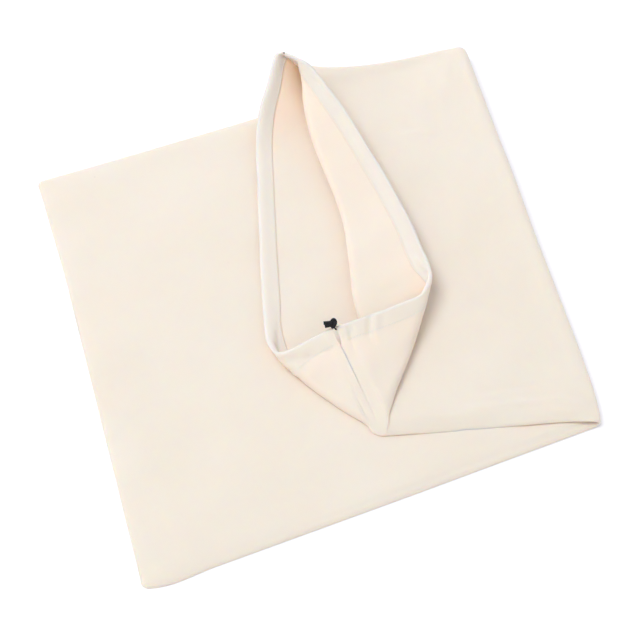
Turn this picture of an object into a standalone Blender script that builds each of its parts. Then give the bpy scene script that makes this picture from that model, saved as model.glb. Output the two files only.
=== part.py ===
"""Empty cotton drawstring bag, lying flat, its mouth end folded back over the body and pulled open.

The cloth is one sheet: a tube sewn down both sides and closed at the bottom. Every row of the sheet runs
across the bag and every column runs lengthwise, from the bottom along the floor, round the fold and back
to the mouth. The upper layer turns back on itself at a crease, so that the mouth shows its inside, and at
the near side both layers turn over a diagonal, which leaves a small triangle of outside face on top.
Lengths here are millimetres in the body's own frame: x along the bag, y from near to far side, z up.
"""
import math

import bmesh
import bpy
import numpy as np
from mathutils import Matrix, Vector
from mathutils.bvhtree import BVHTree

MM = 0.001
WELD = 0.00001
WIDTH = 500.0
CLOTH = 1.0
FLOOR_LAYER = CLOTH / 2
BODY_GAP = 3.7
FLAP_LOW = 7.9
FLAP_TOP = 14.8
SEAM_NOSE = 12.0
CORD_RADIUS = 1.2
CHANNEL_DEPTH = 4.3
CHANNEL_HEIGHT = 2.25
SLIT = 20.0
NEAR_SLIT_OPEN = 0.32
FAR_SLIT_OPEN = 0.62
BLUNT_CORNER = 6.0
NOSE_COLUMNS = 3
STEADY = 0.8
TIP_ROWS = 5
SLIT_TAPER = 0.8
FAR_SWELL = 0.2
CORNER_SWELL = 0.4
FAR_HEM = 0.75
FAR_HEM_FROM = 400.0
UPPER_CORNER = 112.0
UPPER_CORNER_HEM = 0.75
LOWER_CORNER = 62.0
LOWER_CORNER_HEM = 1.35
CORNER_REACH = 45.0
BOTTOM_BLEND = 250.0
FAR_LOOP = 2.2
CORD_CLEAR = 0.36
CORD_PASSES = 60
KNOT = (238.0, 180.0, 45.0)
KNOT_END = (238.4, 180.3, 45.0)
KNOT_SIZE = (4.6, 4.2, 4.0)
TAIL_ENDS = ((228.6, 182.5, 43.8), (229.2, 177.2, 42.6))

# Sections across the bag, measured from the near side seam.
ACROSS_UPPER = (
    0, 1.3, 4, 12, 21, 30, 42, 57, 72, 85, 95, 104, 113, 122, 132, 145, 165, 195, 230, 270, 310, 350, 385, 415, 440,
    460, 475, 488, 496, 498.7, 500,
)
ACROSS_LOWER = (
    0, 1.3, 4, 12, 21, 31, 41, 50, 58, 65, 72, 80, 90, 105, 130, 165, 205, 245, 285, 320, 352, 380, 405, 430, 447,
    462, 476, 488, 496, 498.7, 500,
)

# across, x of the fold's outer edge, radius of the outer layer's roll
FOLD = (
    (0, 449.0, 7.0),
    (28, 457.5, 7.5),
    (66, 465.5, 8.0),
    (138, 478.5, 8.6),
    (230, 494.5, 9.2),
    (300, 508.5, 9.8),
    (370, 520.5, 10.4),
    (440, 533.5, 10.8),
    (500, 545.5, 9.6),
)
FOLD_SLANT = 0.182

# across, x, y, level under the crease, level of the layer turned back over it
UPPER_CREASE = (
    (12, 253.0, 77.0, 13.8, 16.0),
    (30, 263.0, 98.0, 14.5, 20.0),
    (55, 267.0, 127.0, 14.5, 23.0),
    (90, 269.0, 162.0, 14.5, 25.0),
    (127, 270.0, 198.0, 14.8, 26.5),
    (183, 286.0, 257.0, 15.2, 30.0),
    (250, 300.5, 316.0, 15.8, 32.0),
    (309, 305.0, 378.0, 16.4, 34.0),
    (365, 309.0, 430.0, 17.5, 37.0),
    (410, 315.0, 467.0, 20.0, 41.0),
    (440, 321.0, 490.0, 24.0, 45.0),
    (465, 326.0, 506.0, 31.0, 51.0),
    (488, 329.0, 521.0, 44.0, 57.0),
)

# across, x, y, level under the diagonal fold, level of the triangle over it
UPPER_DIAGONAL = (
    (12, 249.0, 79.0, 18.0, 21.0),
    (30, 272.0, 96.0, 22.0, 28.5),
    (55, 299.0, 124.0, 24.5, 34.0),
    (80, 320.0, 152.0, 26.0, 38.0),
    (95, 333.5, 169.0, 27.0, 39.5),
    (108, 344.0, 183.0, 28.5, 38.5),
    (120, 352.0, 192.5, 30.0, 37.0),
    (135, 356.0, 205.0, 32.0, 36.0),
    (150, 346.5, 220.0, 33.5, 35.0),
)
DIAGONAL_ENDS = 150.0

# across, x, y, z of the mouth's rim on the upper layer
UPPER_RIM = (
    (0, 239.5, 176.5, 39.0),
    (12, 250.0, 176.5, 39.5),
    (30, 268.0, 176.4, 40.5),
    (75, 310.0, 177.3, 42.0),
    (108, 339.0, 182.0, 41.0),
    (130, 355.5, 198.0, 38.5),
    (160, 360.0, 229.0, 36.5),
    (190, 363.5, 260.0, 36.0),
    (232, 364.5, 302.5, 36.0),
    (272, 363.5, 341.5, 37.0),
    (310, 361.0, 379.0, 38.0),
    (352, 358.5, 418.0, 40.0),
    (390, 354.0, 453.0, 43.0),
    (425, 347.0, 484.0, 49.0),
    (458, 339.5, 507.0, 56.0),
    (482, 329.0, 521.5, 61.5),
    (500, 316.0, 533.5, 65.0),
)

# across, x, y, level under the diagonal fold, level of the triangle over it
LOWER_DIAGONAL = (
    (12, 237.5, 82.0, 8.2, 19.5),
    (30, 216.0, 118.0, 8.4, 23.5),
    (55, 192.0, 156.0, 8.6, 26.0),
    (66, 182.5, 173.0, 8.8, 20.0),
    (76, 181.5, 189.0, 8.8, 14.5),
    (100, 190.0, 209.0, 8.8, 10.0),
    (150, 203.0, 251.0, 9.5, 9.7),
)
LOWER_DIAGONAL_ENDS = 150.0

# across, x, y, z of the mouth's rim on the lower layer, length over which the layer rises to it
LOWER_RIM = (
    (0, 236.5, 176.5, 39.0, 40),
    (12, 226.0, 176.5, 36.5, 40),
    (30, 208.0, 176.0, 31.5, 40),
    (50, 189.5, 177.0, 27.0, 40),
    (66, 178.5, 183.5, 22.5, 40),
    (82, 175.5, 197.0, 16.5, 40),
    (105, 178.5, 214.0, 12.5, 45),
    (145, 187.0, 251.0, 10.0, 45),
    (200, 201.5, 300.5, 9.5, 40),
    (257, 217.5, 352.0, 9.5, 40),
    (307, 232.0, 398.0, 11.0, 42),
    (362, 248.5, 449.0, 16.0, 42),
    (398, 262.0, 479.0, 26.0, 36),
    (420, 269.5, 491.0, 32.5, 32),
    (450, 285.0, 507.5, 47.0, 29),
    (482, 302.0, 525.5, 60.5, 28),
    (500, 313.0, 533.5, 65.0, 28),
)

# The flap's side seams from the fold to the mouth's rim: x, y, z
NEAR_SEAM = (
    (421.0, 12.5, 12.5),
    (372.0, 26.5, 11.8),
    (310.0, 43.0, 11.2),
    (268.0, 56.5, 11.4),
    (252.0, 64.0, 12.6),
    (247.0, 73.0, 15.0),
    (245.0, 92.0, 20.0),
    (239.0, 128.0, 28.5),
    (237.5, 154.5, 35.0),
    (238.0, 176.5, 39.0),
)
FAR_SEAM = (
    (512.0, 518.5, 14.0),
    (461.0, 521.0, 13.0),
    (422.0, 526.0, 13.0),
    (385.0, 531.0, 15.0),
    (362.0, 534.0, 19.0),
    (339.0, 535.0, 32.0),
    (321.5, 534.5, 50.0),
    (314.5, 533.5, 65.0),
)

# The drawstring's two legs from the knot down into the near slit: half their distance apart, y, z
LEGS = ((1.4, 178.5, 42.5), (1.5, 175.0, 40.6), (1.7, 173.3, 38.9), (2.6, 172.9, 37.3), (4.2, 172.8, 36.8))

# Rows along the flap, as shares of its way to the hem's depth
FLAP_ROWS = (
    0.06, 0.15, 0.25, 0.32, 0.36, 0.385, 0.41, 0.44, 0.48, 0.55, 0.63, 0.68, 0.715, 0.745, 0.775, 0.81, 0.9, 1.0,
)
# The hem's outside and its turned inside: distance from the rim, height above the layer towards the inside
HEM_OUTSIDE = ((16, 0.0), (12, 0.0), (8, 0.0), (4.6, 0.0), (1.2, 0.6), (0, 2.15))
HEM_INSIDE = ((1.2, 3.7), (4.3, 4.6), (7.4, 3.8), (11.5, 2.5), (18.0, 2.2))
ROLL_STEPS = 8
APEX_ROW = 29
APEX_ROWS = 6
APEX_COLUMNS = 6
APEX_PASSES = 3
BODY_STEPS = (0, 1.3, 4, 12)
BODY_SHARES = (0.12, 0.34, 0.56, 0.78, 0.93, 1.0)


def along(table, at):
    """Every column of a table at the given first-column values, on smooth curves through its rows."""
    rows = np.array(table, float)
    key = rows[:, 0]
    value = rows[:, 1:]
    gap = np.diff(key)[:, None]
    slope = np.diff(value, axis=0) / gap
    tangent = np.vstack([slope[:1], (slope[:-1] * gap[1:] + slope[1:] * gap[:-1]) / (gap[1:] + gap[:-1]), slope[-1:]])
    at = np.clip(np.atleast_1d(at).astype(float), key[0], key[-1])
    cell = np.clip(np.searchsorted(key, at, side="right") - 1, 0, len(key) - 2)
    t = ((at - key[cell]) / gap[cell, 0])[:, None]
    size = gap[cell]
    start = value[cell] * (2 * t**3 - 3 * t**2 + 1) + tangent[cell] * size * (t**3 - 2 * t**2 + t)
    return start + value[cell + 1] * (3 * t**2 - 2 * t**3) + tangent[cell + 1] * size * (t**3 - t**2)


def ease(t):
    t = np.clip(t, 0.0, 1.0)
    return t * t * (3 - 2 * t)


def nose(t):
    """Half opening of a sheet that turns round a seam, as a share, at a share t of the way in from it."""
    return np.sqrt(np.clip(1 - (1 - np.clip(t, 0, 1)) ** 2.4, 0, 1))


def spline(points, steps):
    """A smooth curve that starts and ends on the first and last guide point, as dense points."""
    ends = np.vstack([2 * points[0] - points[1], points, 2 * points[-1] - points[-2]])
    t = np.linspace(0, 1, steps, endpoint=False)[:, None]
    spans = []
    for a, b, c, d in zip(ends[:-3], ends[1:-2], ends[2:-1], ends[3:]):
        spans.append(
            ((1 - t) ** 3 * a + (3 * t**3 - 6 * t**2 + 4) * b + (3 * t**2 + 3 * t - 3 * t**3 + 1) * c + t**3 * d) / 6
        )
    return np.vstack(spans + [points[-1:]])


def mix(a, b, t):
    return a + (b - a) * t


def fold_line(across):
    """Start of the roll, its outer radius, and the unit vectors across and along the fold."""
    edge, radius = along(FOLD, across)[0]
    size = math.hypot(1, FOLD_SLANT)
    return edge - radius, radius, np.array([1, -FOLD_SLANT]) / size, np.array([FOLD_SLANT, 1]) / size


def body_side(across, x):
    """The body's far seam runs a little outwards towards the fold."""
    return across * (1 + 0.014 * ease(x / WIDTH))


def body_rows(across, upper, at_bottom):
    """Mid-surface points of the layer on the floor, or of the one over it, from the bottom to the fold."""
    start, radius, _, _ = fold_line(across)
    stops = [b for b in BODY_STEPS]
    stops += [mix(BODY_STEPS[-1], start, s) for s in BODY_SHARES]
    rows = []
    for x in stops:
        here = mix(at_bottom, across, ease((x - SEAM_NOSE) / BOTTOM_BLEND))
        inset = min(here, WIDTH - here)
        half = BODY_GAP / 2 * min(nose(inset / SEAM_NOSE), nose(x / SEAM_NOSE))
        z = FLOOR_LAYER + BODY_GAP / 2 + (half if upper else -half)
        cut = np.array([BLUNT_CORNER - x, BLUNT_CORNER - inset])
        reach = np.linalg.norm(np.maximum(cut, 0))
        if reach > 0:
            cut = np.where(cut > 0, cut * np.max(np.maximum(cut, 0)) / reach, cut)
        y = BLUNT_CORNER - cut[1]
        y = body_side(y if here < WIDTH / 2 else WIDTH - y, x)
        rows.append((BLUNT_CORNER - cut[0], y, z))
    return rows


def roll_rows(across, upper):
    """The two layers round the fold: the floor layer outside, the other inside it."""
    start, outer, over, line = fold_line(across)
    side = nose(min(across, WIDTH - across) / SEAM_NOSE)
    middle = outer - BODY_GAP / 2
    radius = middle + (-side if upper else side) * BODY_GAP / 2
    base = np.array([start, body_side(across, start)])
    rows = []
    for step in range(1, ROLL_STEPS + 1):
        turn = math.pi * step / ROLL_STEPS
        plan = base + over * radius * math.sin(turn) + line * FOLD_SLANT * middle * turn
        rows.append((plan[0], plan[1], FLOOR_LAYER + outer - radius * math.cos(turn)))
    return rows


def lift(plan, z):
    return np.array([plan[0], plan[1], z])


def upper_guides(across):
    """Guide points of the flap's upper layer, from the fold to the rim."""
    start = np.array(roll_rows(across, False)[-1])
    rim = along(UPPER_RIM, across)[0]
    x, y, low, back = along(UPPER_CREASE, across)[0]
    crease = np.array([x, y])
    if across < DIAGONAL_ENDS:
        x, y, under, over = along(UPPER_DIAGONAL, across)[0]
        corner = np.array([x, y])
    else:
        corner = mix(crease, rim[:2], 0.83)
        under = mix(back, rim[2], 0.6)
        over = mix(back, rim[2], 0.8)
    reach = np.linalg.norm(start[:2] - crease)
    inward = (start[:2] - crease) / reach
    width = np.linalg.norm(corner - crease)
    turned = mix(crease, corner, min(14.0, 0.3 * width) / max(width, 0.1))
    points = [start]
    for share, settle in ((0.10, 0.5), (0.30, 1.0), (0.62, 1.0)):
        points.append(lift(mix(start[:2], crease, share), mix(start[2], FLAP_TOP, settle)))
    points.append(lift(crease + inward * 15, mix(FLAP_TOP, low, 0.6)))
    points.append(lift(crease, low))
    points.append(lift(crease, back))
    points.append(lift(turned, back))
    points.append(lift(mix(crease, corner, 0.6), mix(back, under, 0.6)))
    points.append(lift(mix(crease, corner, 0.85), mix(back, under, 0.85)))
    points.append(lift(corner, under))
    points.append(lift(corner, over))
    points.append(mix(lift(corner, over), rim, 0.3))
    points.append(mix(lift(corner, over), rim, 0.65))
    points.append(rim)
    return np.array(points)


def way_shares(points):
    """How far along a line each of its points is, as a share of the whole."""
    steps = np.linalg.norm(np.diff(points, axis=0), axis=1)
    way = np.concatenate([[0], np.cumsum(steps)])
    return way / way[-1]


def lower_guides(across):
    """Guide points of the flap's lower layer, from the fold to the rim, at the upper layer's shares of the way."""
    start = np.array(roll_rows(across, True)[-1])
    x, y, z, ramp = along(LOWER_RIM, across)[0]
    rim = np.array([x, y, z])
    shares = way_shares(upper_guides(across))
    if across < LOWER_DIAGONAL_ENDS:
        x, y, under, over = along(LOWER_DIAGONAL, across)[0]
        corner = np.array([x, y])
        turn = shares[10]
        points = []
        for share in shares[:11]:
            points.append(lift(mix(start[:2], corner, share / turn), mix(start[2], under, ease(share / 0.25))))
        points.append(lift(corner, over))
        for share in (0.3, 0.65, 1.0):
            points.append(mix(lift(corner, over), rim, share))
        return np.array(points)
    points = []
    length = np.linalg.norm(start[:2] - rim[:2])
    for share in shares:
        level = mix(start[2], FLAP_LOW, ease(share / 0.25))
        rise = ease(1 - length * (1 - share) / (1.6 * ramp))
        points.append(lift(mix(start[:2], rim[:2], share), mix(level, z, rise)))
    return np.array(points)


def seam_guides(path, across, beside):
    """Guide points of a side seam along the flap, at the shares of the way of the upper layer beside it."""
    start = 0.5 * (np.array(roll_rows(across, False)[-1]) + np.array(roll_rows(across, True)[-1]))
    line = np.vstack([start, path])
    table = np.column_stack([way_shares(line), line])
    return along(table, way_shares(upper_guides(beside)))


def rim_measure(curve):
    """Distance of every point of a curve from its last one, measured along it."""
    steps = np.linalg.norm(np.diff(curve, axis=0), axis=1)
    return np.concatenate([np.cumsum(steps[::-1])[::-1], [0]])


def hem_places(across, upper_flap):
    """How far a station is into the hem's change at the far tip, and into that at the rim's near corner."""
    far = ease((across - FAR_HEM_FROM) / (WIDTH - FAR_HEM_FROM))
    return far, ease(1 - np.abs(across - (UPPER_CORNER if upper_flap else LOWER_CORNER)) / CORNER_REACH)


def hem_scale(across, upper_flap):
    """The hem gets narrower at the mouth's far tip, and follows the rim's sharp turns at its near corners."""
    far, corner = hem_places(across, upper_flap)
    return mix(1.0, FAR_HEM, far) * mix(1.0, UPPER_CORNER_HEM if upper_flap else LOWER_CORNER_HEM, corner)


def flap_rows(guides, scale):
    """The flap's rows up to the hem's depth, then those of the hem's outside."""
    curve = spline(guides, 24)
    away = rim_measure(curve)
    index = np.arange(len(curve), dtype=float)
    hem = np.interp(-SLIT * scale, -away, index)
    stops = [share * hem for share in FLAP_ROWS]
    stops += [np.interp(-distance * scale, -away, index) for distance, _ in HEM_OUTSIDE]
    return np.array([[np.interp(s, index, curve[:, k]) for k in range(3)] for s in stops])


def head_rows(across, upper_flap, at_bottom):
    """A column's rows on the body and round the fold. The flap's lower layer comes from the body's top one."""
    on_top = not upper_flap
    return np.array(body_rows(across, on_top, at_bottom) + roll_rows(across, on_top))


def tail_rows(across, upper_flap):
    """A column's rows on the flap, before the hem is raised."""
    guides = upper_guides(across) if upper_flap else lower_guides(across)
    return flap_rows(guides, hem_scale(across, upper_flap))


def panel(upper_flap):
    """A panel's columns. Those near a side seam close round it, on the seam's own line."""
    first = SEAM_NOSE
    last = WIDTH - SEAM_NOSE
    sides = (
        (flap_rows(seam_guides(NEAR_SEAM, 0, first), 1.0), first, NEAR_SLIT_OPEN, 0.0),
        (flap_rows(seam_guides(FAR_SEAM, WIDTH, last), FAR_HEM), last, FAR_SLIT_OPEN, 1.0),
    )
    past_slit = np.arange(len(sides[0][0])) - len(FLAP_ROWS)
    columns = []
    stations = ACROSS_UPPER if upper_flap else ACROSS_LOWER
    for across, at_bottom in zip(stations, np.mean([ACROSS_UPPER, ACROSS_LOWER], axis=0)):
        if first <= across <= last:
            tail = tail_rows(across, upper_flap)
        else:
            seam, edge, opening, pointed = sides[0 if across < first else 1]
            own = tail_rows(edge, upper_flap)
            other = tail_rows(edge, not upper_flap)
            t = min(across, WIDTH - across) / SEAM_NOSE
            opened = opening * ease((past_slit + 1) / 2.0)[:, None]
            point = pointed * ease((past_slit + TIP_ROWS) / TIP_ROWS)[:, None]
            spread = opened + (1 - opened) * mix(nose(t), t, point)
            tail = mix(seam, 0.5 * (own + other), t) + 0.5 * (own - other) * spread
        columns.append(np.vstack([head_rows(across, upper_flap, at_bottom), tail]))
    return np.array(columns).transpose(1, 0, 2)


def inward_normals(grid, upper_flap):
    """Unit normals towards the bag's inside."""
    rows = np.gradient(grid, axis=0)
    cols = np.gradient(grid, axis=1)
    normal = np.cross(rows, cols)
    normal /= np.linalg.norm(normal, axis=2)[:, :, None]
    padded = np.concatenate([normal[:, :1], normal, normal[:, -1:]], axis=1)
    normal = padded[:, :-2] + 2 * padded[:, 1:-1] + padded[:, 2:]
    normal /= np.linalg.norm(normal, axis=2)[:, :, None]
    steady = normal[:, -NOSE_COLUMNS - 1 : -NOSE_COLUMNS]
    normal[:, -NOSE_COLUMNS:] = mix(normal[:, -NOSE_COLUMNS:], steady, STEADY)
    normal /= np.linalg.norm(normal, axis=2)[:, :, None]
    return normal if upper_flap else -normal


def raise_hem(grid, upper_flap):
    """Turns the hem in at the rim. Returns the cloth's grid, and the cord's way through the casing."""
    start = len(grid) - len(HEM_OUTSIDE) - 1
    normal = inward_normals(grid, upper_flap)
    depth = [SLIT] + [distance for distance, _ in HEM_OUTSIDE]
    columns = np.arange(grid.shape[1])
    stations = ACROSS_UPPER if upper_flap else ACROSS_LOWER
    at_slit = np.minimum(columns, columns[::-1]) < NOSE_COLUMNS
    taper = np.where(at_slit, SLIT_TAPER, 1.0)
    far, corner = hem_places(np.array(stations, float), upper_flap)
    swell = 1 + FAR_SWELL * far + CORNER_SWELL * corner

    def over(distance, height, taper=1.0):
        where = start + np.interp(-distance * taper * np.ones(len(columns)), [-d for d in depth], range(len(depth)))
        low = np.minimum(where.astype(int), len(grid) - 2)
        share = (where - low)[:, None]
        tilt = mix(normal[low, columns], normal[low + 1, columns], share)
        return mix(grid[low, columns], grid[low + 1, columns], share) + tilt * height * swell[:, None]

    rows = [row for row in grid[: start + 1]]
    rows += [over(distance, height) for distance, height in HEM_OUTSIDE]
    rows += [over(distance, height, taper) for distance, height in HEM_INSIDE]
    return np.array(rows), over(CHANNEL_DEPTH, CHANNEL_HEIGHT)


def soften_apex(upper, lower):
    """Eases the two layers where the near seam turns up from the flap's edge into the triangle."""
    rows = slice(APEX_ROW - APEX_ROWS, APEX_ROW + APEX_ROWS + 1)
    tube = np.concatenate([upper[rows, APEX_COLUMNS:0:-1], lower[rows, : APEX_COLUMNS + 1]], axis=1)
    down = np.abs(np.arange(-APEX_ROWS, APEX_ROWS + 1))[:, None]
    over = np.abs(np.arange(-APEX_COLUMNS, APEX_COLUMNS + 1))[None, :]
    weight = ease(1 - down / APEX_ROWS) * ease(1 - over / APEX_COLUMNS)
    weight = weight[1:-1, 1:-1, None]
    for _ in range(APEX_PASSES):
        near = 0.25 * (tube[:-2, 1:-1] + tube[2:, 1:-1] + tube[1:-1, :-2] + tube[1:-1, 2:])
        tube[1:-1, 1:-1] = mix(tube[1:-1, 1:-1], near, weight)
    upper[rows, : APEX_COLUMNS + 1] = tube[:, APEX_COLUMNS::-1]
    lower[rows, : APEX_COLUMNS + 1] = tube[:, APEX_COLUMNS:]


def cloth_mesh():
    """Vertices and faces of the whole sheet's mid-surface, and the cord's way in the two casings."""
    grids = []
    ways = []
    upper = panel(True)
    lower = panel(False)
    soften_apex(upper, lower)
    for flat, upper_flap in ((upper, True), (lower, False)):
        grid, way = raise_hem(flat, upper_flap)
        grids.append(grid)
        ways.append(way)
    last_joined = len(BODY_STEPS) + len(BODY_SHARES) + ROLL_STEPS + len(FLAP_ROWS) - 1
    vertices = []
    index = []
    for k, grid in enumerate(grids):
        rows, cols = grid.shape[:2]
        ids = np.zeros((rows, cols), int)
        for r in range(rows):
            for c in range(cols):
                joined = r == 0 or (c in (0, cols - 1) and r <= last_joined)
                if k == 1 and joined:
                    ids[r, c] = index[0][r, c]
                    continue
                ids[r, c] = len(vertices)
                vertices.append(grid[r, c])
        index.append(ids)
    faces = []
    for k, ids in enumerate(index):
        rows, cols = ids.shape
        for r in range(rows - 1):
            for c in range(cols - 1):
                face = [ids[r, c], ids[r + 1, c], ids[r + 1, c + 1], ids[r, c + 1]]
                faces.append(face if k == 0 else face[::-1])
    return np.array(vertices), faces, ways


def material(name, colour, roughness):
    made = bpy.data.materials.new(name)
    made.use_nodes = True
    shader = made.node_tree.nodes["Principled BSDF"]
    shader.inputs["Base Color"].default_value = (*colour, 1)
    shader.inputs["Roughness"].default_value = roughness
    return made


def add_object(name, vertices, faces, home, look):
    mesh = bpy.data.meshes.new(name)
    mesh.from_pydata([tuple(v) for v in np.array(vertices) * MM], [], [[int(i) for i in f] for f in faces])
    mesh.materials.append(look)
    mesh.validate()
    thing = bpy.data.objects.new(name, mesh)
    home.objects.link(thing)
    return thing


def tube(name, points, home, look):
    """A round cord through the points, as a closed mesh."""
    curve = bpy.data.curves.new(name, "CURVE")
    curve.dimensions = "3D"
    curve.bevel_depth = CORD_RADIUS * MM
    curve.bevel_resolution = 2
    curve.use_fill_caps = True
    line = curve.splines.new("POLY")
    line.points.add(len(points) - 1)
    for point, place in zip(line.points, points):
        point.co = (*[float(v) * MM for v in place], 1)
    guide = bpy.data.objects.new(name, curve)
    home.objects.link(guide)
    depsgraph = bpy.context.evaluated_depsgraph_get()
    mesh = bpy.data.meshes.new_from_object(guide.evaluated_get(depsgraph))
    bpy.data.objects.remove(guide, do_unlink=True)
    weld = bmesh.new()
    weld.from_mesh(mesh)
    bmesh.ops.remove_doubles(weld, verts=weld.verts, dist=WELD)
    weld.to_mesh(mesh)
    weld.free()
    mesh.materials.clear()
    mesh.materials.append(look)
    mesh.shade_smooth()
    thing = bpy.data.objects.new(name, mesh)
    home.objects.link(thing)
    return thing


def cord_route(ways):
    """From the knot through the lower casing, past the far slit, and back through the upper casing."""
    upper, lower = ways
    down = [(KNOT[0] - half, y, z) for half, y, z in LEGS]
    up = [(KNOT[0] + half, y, z) for half, y, z in reversed(LEGS)]
    turn = [way[-1] + (way[-1] - way[-3]) / np.linalg.norm(way[-1] - way[-3]) * FAR_LOOP for way in (lower, upper)]
    return [KNOT] + down + list(lower[2:]) + turn + list(upper[:1:-1]) + up + [KNOT_END]


def clear_of(cloth, route):
    """Moves a cord's route away from the cloth round it until the cord lies clear of it."""
    tree = BVHTree.FromObject(cloth, bpy.context.evaluated_depsgraph_get())
    route = np.array(route)
    need = CORD_RADIUS + CORD_CLEAR
    for _ in range(CORD_PASSES):
        push = np.zeros_like(route)
        for k in range(len(route) - 1):
            for share in (0.0, 0.25, 0.5, 0.75):
                here = mix(route[k], route[k + 1], share)
                place, _, _, _ = tree.find_nearest(Vector(here) * MM)
                away = here - np.array(place) / MM
                size = np.linalg.norm(away)
                if size < need:
                    step = away / size * (need - size) * 0.4
                    push[k] += step * (1 - share)
                    push[k + 1] += step * share
        push[0] = push[-1] = 0
        route += push
    return route


def drawstring(cloth, ways, home, cutters, look):
    """The cord, its stop knot and the knot's two short tails, joined into one solid."""
    cord = tube("drawstring", clear_of(cloth, cord_route(ways)), home, look)
    bpy.ops.mesh.primitive_uv_sphere_add(segments=20, ring_count=12, radius=MM)
    knot = bpy.context.object
    knot.name = "knot"
    knot.data.transform(Matrix.Diagonal((*KNOT_SIZE, 1)))
    knot.data.transform(Matrix.Translation(Vector(KNOT) * MM))
    cutters.objects.link(knot)
    joined = [knot]
    for end in TAIL_ENDS:
        tail = tube("tail", [KNOT, mix(np.array(KNOT), np.array(end), 0.7), end], cutters, look)
        joined.append(tail)
    for piece in joined:
        piece.hide_render = True
        piece.display_type = "WIRE"
        union = cord.modifiers.new(piece.name, "BOOLEAN")
        union.operation = "UNION"
        union.object = piece
    return cord


def centre_on_origin(home, others):
    """Stands the bag with the middle of its underside on the origin."""
    depsgraph = bpy.context.evaluated_depsgraph_get()
    corners = []
    for thing in home.objects:
        corners += [Vector(corner) for corner in thing.evaluated_get(depsgraph).bound_box]
    low = Vector([min(corner[k] for corner in corners) for k in range(3)])
    high = Vector([max(corner[k] for corner in corners) for k in range(3)])
    middle = (low + high) / 2
    for thing in list(home.objects) + list(others.objects):
        thing.location = Vector((-middle.x, -middle.y, -low.z))


def main():
    for thing in list(bpy.data.objects):
        bpy.data.objects.remove(thing, do_unlink=True)
    home = bpy.data.collections.new("drawstring_storage_bag")
    cutters = bpy.data.collections.new("joined_to_the_cord")
    for collection in (home, cutters):
        bpy.context.scene.collection.children.link(collection)
    cotton = material("cotton", (0.86, 0.80, 0.70), 0.9)
    black = material("black_cord", (0.02, 0.02, 0.02), 0.8)
    vertices, faces, ways = cloth_mesh()
    cloth = add_object("bag_cloth", vertices, faces, home, cotton)
    shell = cloth.modifiers.new("thickness", "SOLIDIFY")
    shell.thickness = CLOTH * MM
    shell.offset = 0.0
    shell.use_even_offset = False
    drawstring(cloth, ways, home, cutters, black)
    centre_on_origin(home, cutters)


main()
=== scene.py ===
"""Looks of the empty cotton drawstring bag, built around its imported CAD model.

The cloth is one sheet with two layers, worked out in rows and columns from tables like the CAD solid's,
then refined, given its soft undulations, puckers and seams, and thickened. Lengths in the tables are
millimetres in the body's own frame: x along the bag, y from near to far side, z up. A place across the
cloth is measured from its near side seam.
"""
import math

import bpy
import numpy as np
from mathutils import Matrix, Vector
from mathutils.bvhtree import BVHTree


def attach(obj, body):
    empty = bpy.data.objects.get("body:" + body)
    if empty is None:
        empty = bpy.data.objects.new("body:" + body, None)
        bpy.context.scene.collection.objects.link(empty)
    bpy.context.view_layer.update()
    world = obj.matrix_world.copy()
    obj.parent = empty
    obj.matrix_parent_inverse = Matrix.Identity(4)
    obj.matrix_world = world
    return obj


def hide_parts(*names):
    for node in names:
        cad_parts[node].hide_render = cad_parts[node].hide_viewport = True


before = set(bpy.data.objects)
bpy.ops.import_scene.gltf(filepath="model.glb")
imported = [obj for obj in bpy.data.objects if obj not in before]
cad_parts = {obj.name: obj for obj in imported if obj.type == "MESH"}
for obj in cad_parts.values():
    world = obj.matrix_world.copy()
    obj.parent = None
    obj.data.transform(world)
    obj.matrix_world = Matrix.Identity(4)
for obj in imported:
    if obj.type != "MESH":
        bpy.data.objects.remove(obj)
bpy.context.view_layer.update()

MM = 0.001
# The frame's origin in the body's own frame
BODY_ORIGIN = np.array([272.28, 268.25, 0.0])
# The bag's width, the cloth's thickness as shown, and as it is in the CAD
WIDTH = 500.0
THICKNESS = 0.8
CLOTH = 1.0

# Middle levels: the layer on the floor, the gap to the one over it, and the flap's two layers
FLOOR_LAYER = CLOTH / 2
BODY_GAP = 3.7
FLAP_LOW = 7.9
FLAP_TOP = 12.6
# Share of the way over which the flap's lower layer settles to its level
SETTLE_SHARE = 0.25

# The rounded nose of cloth at a seam: its depth, its form, its columns, how steady their direction is kept
SEAM_NOSE = 12.0
NOSE_FORM = 2.4
NOSE_COLUMNS = 3
STEADY = 0.8

# The slits where the side seams stop: length, openings as shares, rows over which they open, the pointed tip
SLIT = 20.0
NEAR_SLIT_OPEN = 0.15
NEAR_SLIT_TOP = 0.18
NEAR_TOP_ROW = 3
FAR_SLIT_OPEN = 0.16
SLIT_OPEN_ROWS = 2.0
SLIT_TAPER = 0.8
TIP_ROWS = 5

# The cord's place in the casing: distance from the rim, height over the layer, reach past the far slit
CHANNEL_DEPTH = 4.6
CHANNEL_HEIGHT = 1.5
FAR_LOOP = 2.2
# Columns from the near slit to the cord's entry
ENTRY_COLUMNS = 2

# The hem at the far tip and at the rim's near corners: where, its width as a share, and how much it swells
FAR_HEM_FROM = 400.0
FAR_HEM = 0.75
FAR_SWELL = 0.2
UPPER_CORNER = 112.0
UPPER_CORNER_HEM = 0.75
LOWER_CORNER = 62.0
LOWER_CORNER_HEM = 1.35
CORNER_REACH = 45.0
CORNER_SWELL = 0.4

# The body's outline: blunt corners, a little flare of the far seam, and how far up its bottom columns lean
BLUNT_CORNER = 4.5
BODY_FLARE = 0.014
BOTTOM_BLEND = 250.0
# The body's seams lie low on the floor and rise towards the fold: share of the full height, way of the rise
EDGE_LEVEL = 0.2
EDGE_RISE = 60.0
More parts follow.
